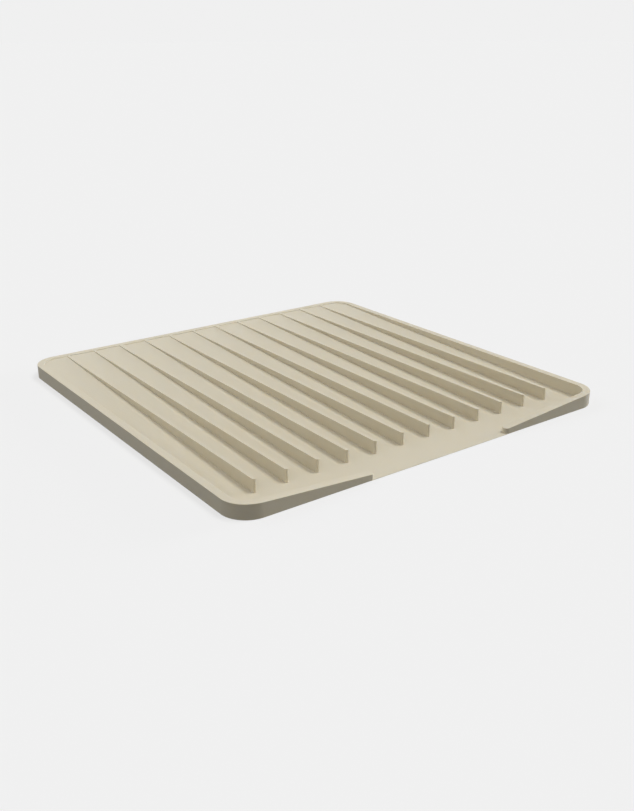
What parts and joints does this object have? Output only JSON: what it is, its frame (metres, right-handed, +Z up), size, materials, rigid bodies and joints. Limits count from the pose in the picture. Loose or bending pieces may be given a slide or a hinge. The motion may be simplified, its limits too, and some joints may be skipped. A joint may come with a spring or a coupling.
{
  "type": "sink mat",
  "caption": "Square self-draining sink-side mat: a floor that slopes forward to a thin lip, wedge-shaped ribs, and a raised rim that is open in the middle of the front.",
  "frame": {"origin": "on the table under the middle of the mat, at the centre of the bounding box's bottom face", "axes": "+X to the right along the front edge, +Y to the rear, so the drain mouth faces -Y, +Z up"},
  "size_m": [0.4, 0.398, 0.013],
  "materials": {
    "silicone": "matte"
  },
  "bodies": {
    "root": {"floor_panel": "silicone", "rib_01": "silicone", "rib_02": "silicone", "rib_03": "silicone", "rib_04": "silicone", "rib_05": "silicone", "rib_06": "silicone", "rib_07": "silicone", "rib_08": "silicone", "rib_09": "silicone", "rib_10": "silicone", "rib_11": "silicone", "rib_12": "silicone", "rim_left": "silicone", "rim_right": "silicone", "rim_rear": "silicone", "rim_front_left": "silicone", "rim_front_right": "silicone", "corner_front_left": "silicone", "corner_front_right": "silicone", "corner_rear_left": "silicone", "corner_rear_right": "silicone"}
  },
  "joints": []
}
